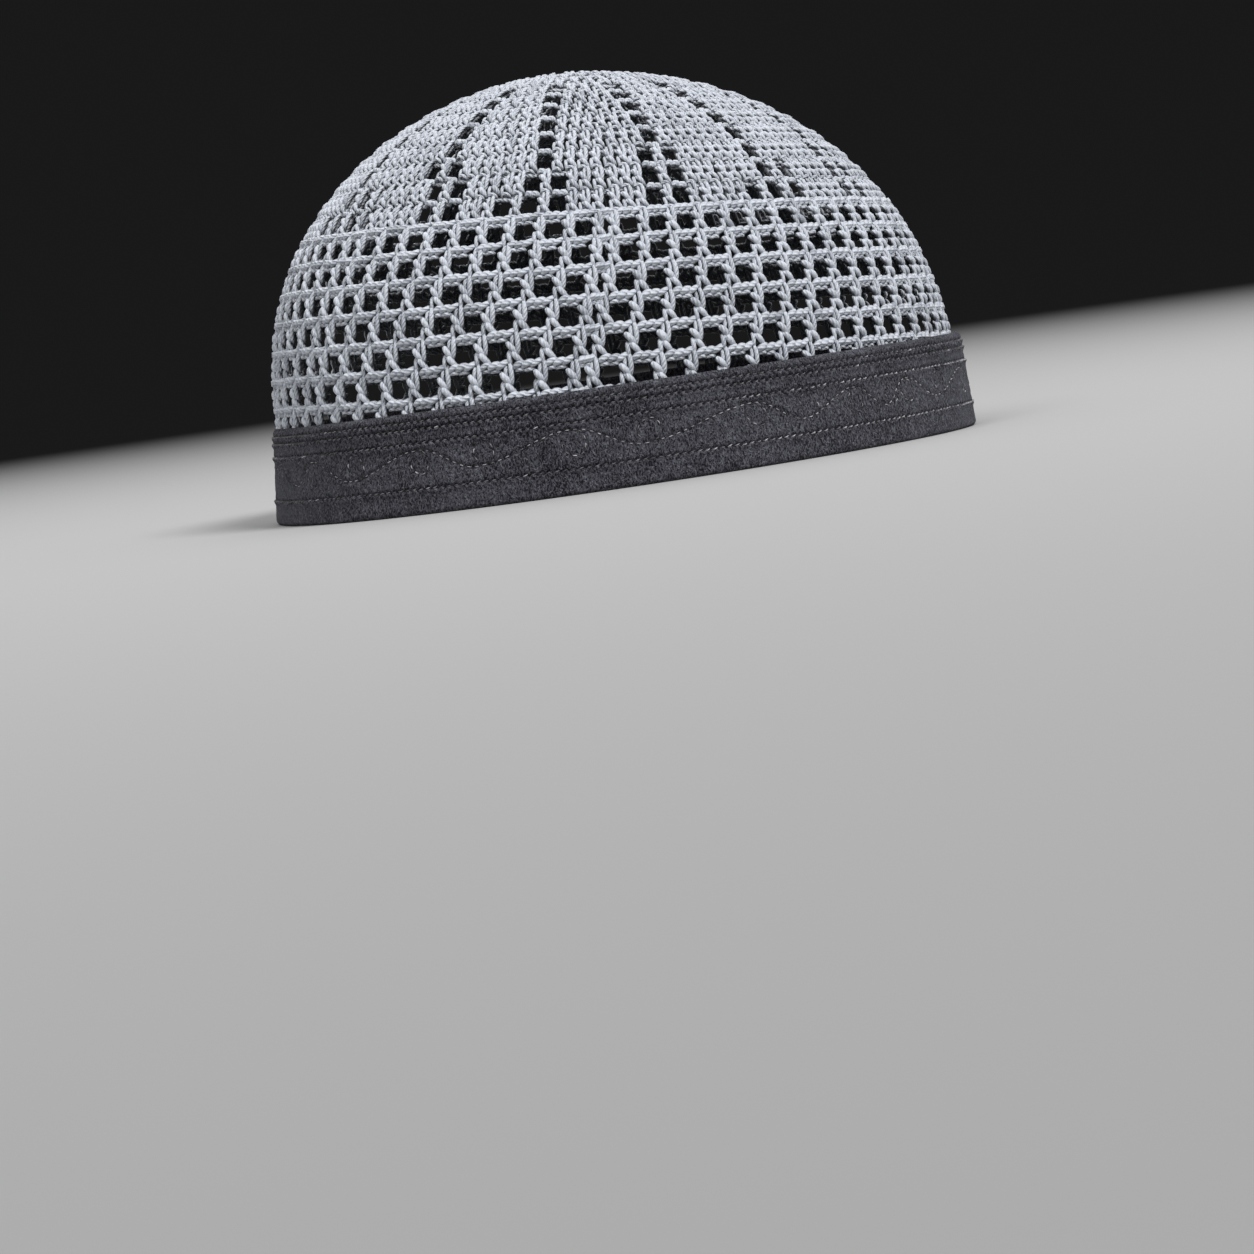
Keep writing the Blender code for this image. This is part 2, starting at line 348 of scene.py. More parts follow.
def turn_at(share, shares=SHARES, turns=TURNS):
    """The turn at a share of the way round the crown's foot, or round another measured plan."""
    whole = np.floor(share)
    return np.interp(share - whole, shares, turns) + whole * FULL_TURN


def row_girth(length):
    """Way round the crown at a length up it."""
    rise = np.interp(length, LENGTHS, RISES)
    return GIRTH * np.cos(np.minimum(rise, STEEPEST_RISE)) ** (0.5 * (SPREAD[0] + SPREAD[1]))


def crown_surface(share, length):
    """Points of the crown's outer face. Below the first row it runs straight down."""
    x, y, z = crown_shape(turn_at(share), np.interp(length, LENGTHS, RISES))
    return np.stack([x, y, z + np.minimum(length, 0.0)], -1)


def unit(vectors):
    """Vectors drawn to a length of one."""
    return vectors / np.maximum(np.linalg.norm(vectors, axis=-1, keepdims=True), 1e-12)


def crown_normal(share, length):
    """Outward direction of the crown's face."""
    along = crown_surface(share + SURFACE_STEP, length) - crown_surface(share - SURFACE_STEP, length)
    up = crown_surface(share, length + SURFACE_STEP) - crown_surface(share, length - SURFACE_STEP)
    return unit(np.cross(along, up))


def smooth_path(points, count):
    """Samples a smooth curve through control points, whose columns may also hold a radius."""
    points = np.asarray(points, float)
    padded = np.vstack([2 * points[0] - points[1], points, 2 * points[-1] - points[-2]])
    places = np.linspace(0.0, len(points) - 1.0, count)
    span = np.minimum(places.astype(int), len(points) - 2)
    t = (places - span)[:, None]
    a, b, c, d = (padded[span + step] for step in range(4))
    curve = 2 * b + (c - a) * t + (2 * a - 5 * b + 4 * c - d) * t**2 + (3 * b - a - 3 * c + d) * t**3
    return 0.5 * curve


def make_piece(name, vertices, faces, material, attribute, values):
    """A smooth mesh in the scene, with an attribute that gives its material a number for each vertex."""
    mesh = bpy.data.meshes.new(name)
    mesh.from_pydata(vertices.tolist(), [], faces)
    layer = mesh.attributes.new(attribute, "FLOAT", "POINT")
    layer.data.foreach_set("value", values.astype(np.float32))
    mesh.shade_smooth()
    mesh.materials.append(material)
    piece = bpy.data.objects.new(name, mesh)
    bpy.context.scene.collection.objects.link(piece)
    return piece


class Strands:
    """Collects tubes of yarn or thread, and joins them into one mesh."""

    def __init__(self):
        self.groups = []

    def add(self, paths, normals, radii, tones):
        """Adds tubes of equal point count: paths and normals are tubes by points by 3."""
        self.groups.append((paths, normals, radii, tones))

    def build(self, name, material, sides=TUBE_SIDES):
        """Makes the piece, with a map of the way round each tube and the length along it in millimetres."""
        vertices, faces, uvs, tones = [], [], [], []
        start = 0
        around = np.arange(sides)
        angles = FULL_TURN * around / sides
        for paths, normals, radii, group_tones in self.groups:
            tubes, points = paths.shape[:2]
            tangents = unit(np.gradient(paths, axis=1))
            side = unit(np.cross(tangents, normals))
            lift = np.cross(side, tangents)
            taper = np.ones(points)
            taper[[0, -1]] = END_TAPER
            reach = (radii * taper)[:, :, None, None]
            ring = np.cos(angles)[:, None] * side[:, :, None] + np.sin(angles)[:, None] * lift[:, :, None]
            vertices.append((paths[:, :, None] + reach * ring).reshape(-1, 3))
            index = start + np.arange(tubes * points * sides).reshape(tubes, points, sides)
            following = np.roll(index, -1, axis=2)
            quads = np.stack([index[:, :-1], index[:, 1:], following[:, 1:], following[:, :-1]], -1)
            faces += quads.reshape(-1, 4).tolist()
            faces += index[:, 0].tolist()
            faces += index[:, -1, ::-1].tolist()
            run = np.linalg.norm(np.diff(paths, axis=1), axis=2)
            run = np.concatenate([np.zeros((tubes, 1)), np.cumsum(run, axis=1)], axis=1) / MM
            u = np.broadcast_to(around / sides, (tubes, points - 1, sides))
            v0 = np.broadcast_to(run[:, :-1, None], u.shape)
            v1 = np.broadcast_to(run[:, 1:, None], u.shape)
            quad_uv = np.stack([u, v0, u, v1, u + 1 / sides, v1, u + 1 / sides, v0], -1)
            uvs.append(quad_uv.reshape(-1, 2))
            cap = np.stack([around / sides, np.zeros(sides)], -1)
            uvs.append(np.tile(cap, (2 * tubes, 1)))
            tones.append(np.repeat(group_tones, points * sides))
            start += tubes * points * sides
        piece = make_piece(name, np.concatenate(vertices), faces, material, "tone", np.concatenate(tones))
        layer = piece.data.uv_layers.new(name="along")
        layer.data.foreach_set("uv", np.concatenate(uvs).astype(np.float32).ravel())
        return piece


def lay_stitches(strands, template, shares, lengths, widths, heights, radius=1.0, points=STRAND_POINTS,
                 depth=STITCH_DEPTH_MM, middle=0.5 * TEMPLATE_HEIGHT_MM):
    """Lays a template's strands on the crown, once for each place, drawn in to its width and height.

    shares and lengths are the places of the template's origin, widths and heights its scales. The
    strands lean about the template's middle height.
    """
    shares = np.asarray(shares, float)
    count = len(shares)
    lengths = np.broadcast_to(np.asarray(lengths, float), (count,))
    widths = np.broadcast_to(np.asarray(widths, float), (count,))
    heights = np.broadcast_to(np.asarray(heights, float), (count,))
    stray_across = RNG.normal(0.0, STITCH_STRAY, count)
    stray_up = RNG.normal(0.0, STITCH_STRAY, count)
    skew = RNG.normal(0.0, STITCH_SKEW, count)
    stitch_tone = RNG.normal(0.0, STITCH_TONE, count)
    girth = row_girth(lengths)
    for strand in template:
        path = smooth_path(strand, points)
        wobble = RNG.normal(0.0, STRAND_STRAY, (count, 3))
        up = (path[None, :, 1] + ROW_SLOPE * path[None, :, 0]) * heights[:, None]
        up = up + (stray_up + wobble[:, 1])[:, None]
        leaning = path[None, :, 0] + STITCH_LEAN * (path[None, :, 1] - middle)
        across = leaning * widths[:, None] + (stray_across + wobble[:, 0])[:, None]
        across = across + skew[:, None] * (up - middle)
        share = shares[:, None] + across * MM / girth[:, None]
        length = np.minimum(lengths[:, None] + up * MM, LENGTHS[-1] - POLE_MARGIN)
        normal = crown_normal(share, length)
        out = (path[None, :, 2] + wobble[:, 2:3] + depth) * MM
        place = crown_surface(share, length) + normal * out[:, :, None]
        radii = path[None, :, 3] * MM * radius * RNG.normal(1.0, THICKNESS_STRAY, (count, 1))
        seen = place[:, :, 2].max(axis=1) > HIDDEN_BELOW
        tones = MIDDLE_TONE + stitch_tone + RNG.normal(0.0, STRAND_TONE, count)
        if seen.any():
            strands.add(place[seen], normal[seen], radii[seen], tones[seen])


def drift(row):
    """How far a row's posts have drifted round from the seam, in pitches."""
    if row in UPPER_DRIFT:
        return UPPER_DRIFT[row]
    return -NET_DRIFT * (row - NET_DRIFT_FROM_ROW)


def post_places(row):
    """Places of a row's posts as pitches from the seam, in order round the crown."""
    back = [-0.5 * SEAM_PITCHES - index for index in reversed(range(POSTS_BACK))]
    front = [0.5 * SEAM_PITCHES + index for index in range(POSTS_FRONT)]
    return np.array(back + front) + drift(row)


def to_share(pitches):
    """Shares of the way round at distances from the seam in pitches."""
    return SEAM_SHARE + np.asarray(pitches) / PITCHES_ROUND


def pitch_scale(length):
    """Width of a pitch at a length up the crown, as a share of the template's."""
    return row_girth(length) / PITCHES_ROUND / (TEMPLATE_PITCH_MM * MM)


def add_net(posts, bars):
    """The open net: posts in each row and a chain between them along each row's lower edge."""
    for row, middle in NET_ROWS_MM.items():
        foot = (middle - 0.5 * NET_STEP_MM) * MM
        places = post_places(row)
        scale = float(pitch_scale(middle * MM))
        lay_stitches(posts, POST_STRANDS, to_share(places), foot, POST_WIDTH * scale,
                     NET_STEP_MM / TEMPLATE_HEIGHT_MM)
        gaps = np.diff(np.append(places, places[0] + PITCHES_ROUND))
        add_chain(bars, places + 0.5 * gaps - 0.5 * NET_DRIFT, gaps, foot)
    places = post_places(1)
    gaps = np.diff(np.append(places, places[0] + PITCHES_ROUND))
    add_chain(bars, places + 0.5 * (gaps + UPPER_DRIFT[-1] - UPPER_DRIFT[1]), gaps, NET_TOP_MM * MM)


def add_chain(bars, middles, gaps, length, template=BAR_STRANDS):
    """Chain bars across gaps, each drawn to its gap's width."""
    scale = float(pitch_scale(length))
    widths = scale * np.maximum(gaps, NARROWEST_GAP)
    lay_stitches(bars, template, to_share(middles), length, widths, CHAIN_HEIGHT, CHAIN_RADIUS,
                 DENSE_POINTS, middle=0.0)


def eyelet_line_shares():
    """Shares round the crown where the lines of eyelets climb to the pole."""
    pair = 2.0 / SECTORS
    return [EYELET_LINE_SHARE + (line // 2) * pair + (line % 2) * WIDE_SECTOR_SHARE
            for line in range(SECTORS)]


def fan_row(row):
    """A dense row just over the net: its places as shares and which of them are open."""
    posts = post_places(row)
    gaps = np.diff(posts)
    middles = (posts[:-1] + 0.5 * gaps)[gaps > WHOLE_GAP]
    places = np.sort(np.concatenate([posts, middles]))
    is_post = np.isin(places, posts)
    is_open = np.zeros(len(places), bool)
    for line, share in enumerate(eyelet_line_shares()):
        away = np.abs((to_share(places) - share + 0.5) % 1.0 - 0.5)
        centre = int(np.argmin(np.where(is_post, away, 1.0)))
        offsets = [-3, -1, 1] if row == -1 and line % 2 == 0 else [-1, 1]
        for offset in offsets:
            is_open[(centre + offset) % len(places)] = True
    return to_share(places), is_open


def sector_row(row, count):
    """A dense row between the eyelet lines: its places as shares and which of them are open."""
    shares, is_open = [], []
    for line, share in enumerate(eyelet_line_shares()):
        width = WIDE_SECTOR_SHARE if line % 2 == 0 else 2.0 / SECTORS - WIDE_SECTOR_SHARE
        opened = {0} if row >= LAST_EYELET_ROW else set()
        if row == -3:
            opened = {0, count - 1} if line % 2 == 0 else {1}
        for slot in range(count):
            shares.append(share + slot * width / count)
            is_open.append(slot in opened)
    return np.array(shares), np.array(is_open)


def add_dense_row(strands, backs, bars, shares, is_open, middle_mm):
    """One row of close stitches, with the loops and cord behind them and a chain under each eyelet."""
    foot = (middle_mm - 0.5 * DENSE_STEP_MM) * MM
    height = DENSE_STEP_MM / TEMPLATE_HEIGHT_MM
    slot = 1.0 / len(shares)
    width = slot * float(row_girth(middle_mm * MM)) / MM / DENSE_SLOT_MM
    beside_left = np.roll(is_open, 1)
    beside_right = np.roll(is_open, -1)
    shifted = shares + EYELET_SPREAD * slot * (beside_left.astype(float) - beside_right)
    widths = width * np.where(beside_left | beside_right, EYELET_SQUEEZE, 1.0)
    filled = ~is_open
    shifted = shifted[filled]
    widths = widths[filled]
    lay_stitches(strands, POST_STRANDS + (TOP_LOOP,), shifted, foot, widths, height, DENSE_RADIUS,
                 DENSE_POINTS)
    lay_stitches(backs, (BACK_STRAND,), shifted, foot, BACK_WIDTH * widths, height, BACK_WIDTH,
                 BACK_POINTS, BACK_DEPTH_MM)
    lay_stitches(backs, (BACK_CORD,), shifted, foot, widths, 1.0, 1.0, CORD_POINTS, BACK_DEPTH_MM)
    if is_open.any():
        pitches = (shares[is_open] - SEAM_SHARE) * PITCHES_ROUND
        gaps = np.full(len(pitches), EYELET_GAP * slot * PITCHES_ROUND)
        add_chain(bars, pitches, gaps, foot, EYELET_STRANDS)


def add_crown_top(groups):
    """The dense rows from the net to the pole, and the hub's few stitches."""
    backs = groups["row_backs"]
    bars = groups["eyelet_chains"]
    for row in (-1, -2):
        middle = DENSE_FIRST_MM - (row + 1) * DENSE_STEP_MM
        add_dense_row(groups["rows_low"], backs, bars, *fan_row(row), middle)
    for row, count in STITCHES_TO_SECTOR.items():
        name = "rows_low" if row == -3 else "rows_middle" if row > -7 else "rows_top"
        middle = DENSE_FIRST_MM - (row + 1) * DENSE_STEP_MM
        add_dense_row(groups[name], backs, bars, *sector_row(row, count), middle)
    hub = np.arange(HUB_STITCHES) / HUB_STITCHES
    hub_middle = DENSE_FIRST_MM + len(STITCHES_TO_SECTOR) * DENSE_STEP_MM + 2 * DENSE_STEP_MM
    add_dense_row(groups["rows_top"], backs, bars, hub, np.zeros(HUB_STITCHES, bool), hub_middle)


def node_tree(name):
    """A new material with its nodes and its shader."""
    material = bpy.data.materials.new(name)
    material.use_nodes = True
    tree = material.node_tree
    return material, tree, tree.nodes["Principled BSDF"]


def set_inputs(tree, node, inputs):
    """Sets a node's inputs, or links those that are given as another node's output."""
    for key, value in inputs.items():
        if isinstance(value, bpy.types.NodeSocket):
            tree.links.new(value, node.inputs[key])
        else:
            node.inputs[key].default_value = value


def add_node(tree, kind, inputs=None, **settings):
    """Adds a node with its properties and inputs."""
    node = tree.nodes.new(kind)
    for key, value in settings.items():
        setattr(node, key, value)
    set_inputs(tree, node, inputs or {})
    return node


def maths(tree, operation, first, second=0.0):
    """One step of arithmetic on numbers or outputs."""
    return add_node(tree, "ShaderNodeMath", {0: first, 1: second}, operation=operation).outputs[0]


def map_range(tree, value, span, to, kind="LINEAR"):
    """Carries a value from one span of numbers to another."""
    inputs = {"Value": value, "From Min": span[0], "From Max": span[1], "To Min": to[0], "To Max": to[1]}
    return add_node(tree, "ShaderNodeMapRange", inputs, interpolation_type=kind).outputs[0]


def noise(tree, place, scale, detail, distortion=0.0):
    """The value of a noise pattern at a place."""
    inputs = {"Vector": place, "Scale": scale, "Detail": detail, "Distortion": distortion}
    return add_node(tree, "ShaderNodeTexNoise", inputs).outputs[0]


def attribute(tree, name):
    """The number that a piece's mesh holds for each vertex."""
    return add_node(tree, "ShaderNodeAttribute", attribute_name=name).outputs["Fac"]


def two_tones(tree, shade, tones):
    """A colour between two, each given with its place on the scale of shades."""
    ramp = add_node(tree, "ShaderNodeValToRGB", {0: shade})
    for index, (position, colour) in enumerate(tones):
        ramp.color_ramp.elements[index].position = position
        ramp.color_ramp.elements[index].color = (*colour, 1.0)
    return ramp.outputs[0]


def scaled(tree, colour, factor):
    """A colour made darker or lighter."""
    return add_node(tree, "ShaderNodeVectorMath", {0: colour, "Scale": factor}, operation="SCALE").outputs[0]


def yarn_material():
    """Blue-grey cotton: a twist of four plies along each strand, fine fibres, a tone for each strand, and
    painted shade on each strand's sides and underside.
    """
    material, tree, shader = node_tree("yarn")
    along = add_node(tree, "ShaderNodeUVMap", uv_map="along")
    axes = add_node(tree, "ShaderNodeSeparateXYZ", {0: along.outputs[0]})
    twist = maths(tree, "ADD", maths(tree, "MULTIPLY", axes.outputs[0], 4.0),
                  maths(tree, "MULTIPLY", axes.outputs[1], 0.80))
    plies = maths(tree, "SINE", maths(tree, "MULTIPLY", twist, FULL_TURN))
    # Painted shade: each strand's sides and underside, where it sinks between its neighbours, are darkened
    # by the way round its tube
    outward = maths(tree, "SINE", maths(tree, "MULTIPLY", axes.outputs[0], FULL_TURN))
    painted_flank_shade = map_range(tree, outward, (-0.45, 0.75), (0.22, 1.0), "SMOOTHSTEP")
    place = add_node(tree, "ShaderNodeTexCoord").outputs["Object"]
    fibres = noise(tree, place, 2600.0, 3.0)
    patches = noise(tree, place, 90.0, 2.0)
    shade = maths(tree, "ADD", attribute(tree, "tone"), maths(tree, "MULTIPLY", fibres, 0.5))
    shade = maths(tree, "ADD", shade, maths(tree, "MULTIPLY", patches, 0.5))
    shade = maths(tree, "ADD", shade, maths(tree, "MULTIPLY", plies, 0.20))
    height = maths(tree, "ADD", maths(tree, "MULTIPLY", plies, 0.5), maths(tree, "MULTIPLY", fibres, 0.8))
    bump = add_node(tree, "ShaderNodeBump", {"Strength": 0.7, "Distance": 0.0003, "Height": height})
    set_inputs(tree, shader, {
        "Base Color": scaled(tree, two_tones(tree, shade, YARN_TONES), painted_flank_shade),
        "Normal": bump.outputs[0],
        "Roughness": 0.62,
        "Specular IOR Level": 0.35,
        "Sheen Weight": 0.25,
        "Sheen Roughness": 0.45,
    })
    return material


def velvet_material():
    """Charcoal velvet: short nap in fine ridges, mottled where it lies over, with a soft sheen, painted
    shade in its creases and grooves and painted highlight on its scallops.
    """
    material, tree, shader = node_tree("velvet")
    place = add_node(tree, "ShaderNodeTexCoord").outputs["Object"]
    combed = add_node(tree, "ShaderNodeVectorMath", {0: place, 1: (1.0, 1.0, 0.6)}, operation="MULTIPLY")
    nap = noise(tree, combed.outputs[0], 2400.0, 1.0)
    worms = noise(tree, combed.outputs[0], 900.0, 1.0, 0.9)
    cloud = noise(tree, place, 60.0, 3.0)
    off_ridge = maths(tree, "ABSOLUTE", maths(tree, "SUBTRACT", worms, 0.5))
    ridges = map_range(tree, off_ridge, (0.0, 0.06), (1.0, 0.0))
    shade = maths(tree, "ADD", maths(tree, "MULTIPLY", nap, 0.8), maths(tree, "MULTIPLY", ridges, 0.34))
    shade = maths(tree, "ADD", shade, maths(tree, "MULTIPLY", cloud, 0.25))
    # Painted shading: the colour is darkened as painted shade in the creases and grooves and lightened as a
    # painted highlight on the scallops
    painted_shading = map_range(tree, attribute(tree, "shade_and_highlight"), (-1.0, 1.0), (0.42, 1.90))
    height = maths(tree, "ADD", maths(tree, "MULTIPLY", nap, 0.6), maths(tree, "MULTIPLY", ridges, 0.5))
    bump = add_node(tree, "ShaderNodeBump", {"Strength": 1.0, "Distance": 0.0006, "Height": height})
    set_inputs(tree, shader, {
        "Base Color": scaled(tree, two_tones(tree, shade, VELVET_TONES), painted_shading),
        "Normal": bump.outputs[0],
        "Roughness": 0.92,
        "Specular IOR Level": 0.15,
        "Sheen Weight": 0.18,
        "Sheen Roughness": 0.50,
        "Sheen Tint": VELVET_SHEEN,
    })
    return material


def thread_material():
    """Grey quilting thread, dark where it sinks into the nap and silvery where it lies on top."""
    material, tree, shader = node_tree("thread")
    set_inputs(tree, shader, {
        "Base Color": two_tones(tree, attribute(tree, "tone"), THREAD_TONES),
        "Roughness": 0.45,
        "Sheen Weight": 0.2,
    })
    return material


def vine_turns():
    """Shares of the way round at which the vine turns, a trough first.

    They are measured where the band is seen, and evenly spaced where it is hidden.
    """
    wave = (VINE_TURNS[0] + 1.0 - VINE_TURNS[-1]) / VINE_HIDDEN_WAVES
    turns = list(VINE_TURNS)
    for _ in range(VINE_HIDDEN_WAVES):
        turns += [turns[-1] + VINE_CREST_SHARE * wave, turns[-1] + wave]
    return np.array(turns)


VINE = vine_turns()


def vine_height(along_mm):
    """Height of the wavy vine, in millimetres, at a length round the band."""
    share = (along_mm / BAND_GIRTH_MM - VINE[0]) % 1.0 + VINE[0]
    phase = np.interp(share, VINE, np.arange(len(VINE)))
    return VINE_HEIGHT_MM - VINE_SWING_MM * np.cos(math.pi * phase)


def band_turn(along_mm):
    """The turn at a length round the band."""
    return turn_at(along_mm / BAND_GIRTH_MM, BAND_SHARES, BAND_TURNS)


def leaf_outlines():
    """Loops that stand in each bay of the vine, upright in the troughs and hanging under the crests."""
    loops = []
    for number, share in enumerate(VINE[:-1]):
        hanging = number % 2 == 1
        centre = share * BAND_GIRTH_MM + (0.0 if hanging else LEAF_OFFSET_MM)
        lean = RNG.uniform(-LEAF_LEAN, LEAF_LEAN)
        wide = LEAF_HALF_WIDTH_MM * RNG.uniform(*LEAF_WIDTHS)
        tall = LEAF_HALF_HEIGHT_MM * RNG.uniform(*LEAF_HEIGHTS)
        spin = np.linspace(*LEAF_SWEEP, LEAF_POINTS)
        across = wide * np.cos(spin)
        up = tall * np.sin(spin) * (1.0 + LEAF_BULGE * np.cos(spin))
        if hanging:
            up = -up
        sign = -1.0 if hanging else 1.0
        middle = VINE_HEIGHT_MM + sign * (tall + LEAF_GAP_MM - VINE_SWING_MM)
        loops.append(np.stack([centre + across + lean * up, middle + up], -1))
    return loops


LEAVES = leaf_outlines()


def groove(distance, width):
    """A smooth dent, 1 in its middle and fading out past its width."""
    return np.exp(-((distance / width) ** 2))


def unevenness(along_mm, height_mm):
    """Slow swells that a hand-sewn band has, a fraction of a millimetre high."""
    turn = FULL_TURN * along_mm / BAND_GIRTH_MM
    swell = 0.0
    for waves, start, climb, share in SWELLS:
        swell = swell + share * np.sin(waves * turn + start + climb * height_mm)
    return SWELL_MM * swell


def crease(along_mm):
    """Arcs between the needle holes of a stitch line, from 0 at a hole to 1 midway."""
    return np.abs(np.sin(math.pi * along_mm * BORDER_STITCHES / BAND_GIRTH_MM))


def quilt(along_mm, height_mm):
    """How far the quilted face stands out in millimetres, and the painted shade and highlight on it.

    The painted shading is -1 in a crease, where it darkens the velvet as painted shade (the pile is also
    parted there), and 1 on a ridge, where it lightens it as a painted highlight.
    """
    relief = unevenness(along_mm, height_mm)
    shade_and_highlight = np.zeros_like(relief)
    arc = crease(along_mm)
    for line in STITCH_LINES:
        away = height_mm - line["height"] - CREASE_RISE_MM * (arc - 0.5)
        relief = relief - line["depth"] * groove(away, CREASE_MM) * (1.0 - CREASE_SOFTENS * arc)
        relief = relief + line["scallop"] * groove(away + SCALLOP["drop"], SCALLOP["width"]) * arc
        relief = relief + LIP["height"] * groove(away - LIP["rise"], LIP["width"])
        # Painted highlight on each scallop's upper slope, and painted shade along the crease
        nap = SCALLOP_HIGHLIGHT["share"] * arc * groove(away + SCALLOP_HIGHLIGHT["drop"], SCALLOP_HIGHLIGHT["width"])
        shade_and_highlight = shade_and_highlight - groove(away, CREASE_SHADE_MM) + nap
    rise = vine_height(along_mm + SLOPE_STEP_MM) - vine_height(along_mm - SLOPE_STEP_MM)
    slope = rise / (2.0 * SLOPE_STEP_MM)
    away = (height_mm - vine_height(along_mm)) / np.sqrt(1.0 + slope**2)
    relief = relief - VINE_DEPTH_MM * groove(away, GROOVE_MM)
    relief = relief + VINE_LIP["height"] * groove(np.abs(away) - VINE_LIP["away"], VINE_LIP["width"])
    # Painted shade along the vine's groove
    shade_and_highlight = shade_and_highlight - VINE_SHADE * groove(away, GROOVE_SHADE_MM)
    for loop in LEAVES:
        centre = loop[:, 0].mean()
        gap = (along_mm - centre + 0.5 * BAND_GIRTH_MM) % BAND_GIRTH_MM - 0.5 * BAND_GIRTH_MM
        near = np.abs(gap) < LEAF_REACH_MM
        local = loop - [centre, 0.0]
        away = np.hypot(gap[near][:, None] - local[:, 0], height_mm[near][:, None] - local[:, 1]).min(axis=1)
        relief[near] -= LEAF_DEPTH_MM * groove(away, GROOVE_MM)
        # Painted shade along each leaf's groove
        shade_and_highlight[near] -= LEAF_SHADE * groove(away, GROOVE_SHADE_MM)
    return relief, np.clip(shade_and_highlight, -1.0, 1.0)


def band_outer(along_mm, height_mm, out_mm=0.0):
    """Points and outward directions on the band's quilted face, and the painted shade and highlight there.
    """
    turn = band_turn(along_mm)
    height = height_mm * MM
    fold = np.clip(1.0 - height / BAND_FOLD_RADIUS, 0.0, 1.0)
    edge = np.clip(1.0 - (BAND_HEIGHT - height) / (BAND_EDGE_MM * MM), 0.0, 1.0)
    inset = BAND_FOLD_RADIUS * (1.0 - np.sqrt(1.0 - fold**2)) + BAND_EDGE_INSET * edge**2
    inset = inset + front_to_back(turn, BAND_FLARE) * height / BAND_HEIGHT
    x, y = rim_plan(turn, inset)
    x0, y0 = rim_plan(turn - TURN_STEP, inset)
    x1, y1 = rim_plan(turn + TURN_STEP, inset)
    normal = unit(np.stack([y1 - y0, x0 - x1, np.zeros_like(x)], -1))
    fade = np.clip(height_mm / RELIEF_STARTS_MM, 0.0, 1.0)
    fade = fade * np.clip((BAND_HEIGHT / MM - height_mm) / RELIEF_ENDS_MM, 0.0, 1.0)
    relief, shade_and_highlight = quilt(along_mm, height_mm)
    out = (relief * fade + out_mm) * MM
    return np.stack([x, y, height], -1) + normal * out[..., None], normal, shade_and_highlight


def crown_plan(turn, height):
    """Plan of the crown's outer face at a height, found by halving."""
    low = np.zeros_like(turn)
    high = np.full_like(turn, 0.5 * math.pi)
    for _ in range(HALVINGS):
        middle = 0.5 * (low + high)
        below = crown_shape(turn, middle)[2] < height
        low = np.where(below, middle, low)
        high = np.where(below, high, middle)
    x, y, _ = crown_shape(turn, low)
    return x, y


def crown_offset(turn, height, inset):
    """The crown's plan at a height, drawn in square to itself."""
    x, y = crown_plan(turn, height)
    x0, y0 = crown_plan(turn - TURN_STEP, height)
    x1, y1 = crown_plan(turn + TURN_STEP, height)
    length = np.hypot(x1 - x0, y1 - y0)
    return x - inset * (y1 - y0) / length, y + inset * (x1 - x0) / length


def face_rows():
    """Heights of the mesh's rows over the quilted face in millimetres, closer at the stitch lines."""
    fold = BAND_FOLD_RADIUS / MM * (1.0 - np.cos(np.linspace(0.0, 0.5 * math.pi, FOLD_ROWS)))
    rows = list(fold)
    for top, spacing in ROW_SPACING_MM:
        while rows[-1] + spacing <= top:
            rows.append(rows[-1] + spacing)
    return np.array(rows + [BAND_HEIGHT / MM])


def band_faces(outer, inner):
    """Faces of the grids of vertices, and the strips that join the outer one to the coarser inner one."""
    faces = []
    for grid in (outer, inner):
        after = np.roll(grid, -1, axis=0)
        quads = np.stack([grid[:, :-1], after[:, :-1], after[:, 1:], grid[:, 1:]], -1)
        faces += quads.reshape(-1, 4).tolist()
    for k in range(len(inner)):
        columns = [(INNER_STEP * k + step) % BAND_COLUMNS for step in range(INNER_STEP + 1)]
        here = inner[k].tolist()
        following = inner[(k + 1) % len(inner)].tolist()
        faces.append([*outer[columns, -1].tolist(), following[0], here[0]])
        faces.append([here[-1], following[-1], *outer[columns[::-1], 0].tolist()])
    return faces


def make_band(material):
    """The folded strip as one closed mesh: quilted outer layer, rounded fold and plain inner layer."""
    along = (np.arange(BAND_COLUMNS) + 0.5) / BAND_COLUMNS * BAND_GIRTH_MM
    outer, shades_and_highlights = [], []
    for height in face_rows():
        place, _, shade_and_highlight = band_outer(along, np.full_like(along, height))
        outer.append(place)
        shades_and_highlights.append(shade_and_highlight)
    turn = band_turn(along[::INNER_STEP])
    inner = []
    for height, inset in INNER_PROFILE:
        x, y = crown_offset(turn, height, inset)
        inner.append(np.stack([x, y, np.full_like(x, height)], -1))
    outer = np.stack(outer, 1)
    inner = np.stack(inner, 1)
    outer_index = np.arange(outer.shape[0] * outer.shape[1]).reshape(outer.shape[:2])
    inner_index = outer_index.size + np.arange(inner.shape[0] * inner.shape[1]).reshape(inner.shape[:2])
    vertices = np.concatenate([outer.reshape(-1, 3), inner.reshape(-1, 3)])
    # The quilted face carries the painted shade and highlight; the inner layer has none
    values = np.concatenate([np.stack(shades_and_highlights, 1).ravel(), np.zeros(inner_index.size)])
    return make_piece("band_velvet", vertices, band_faces(outer_index, inner_index), material, "shade_and_highlight", values)


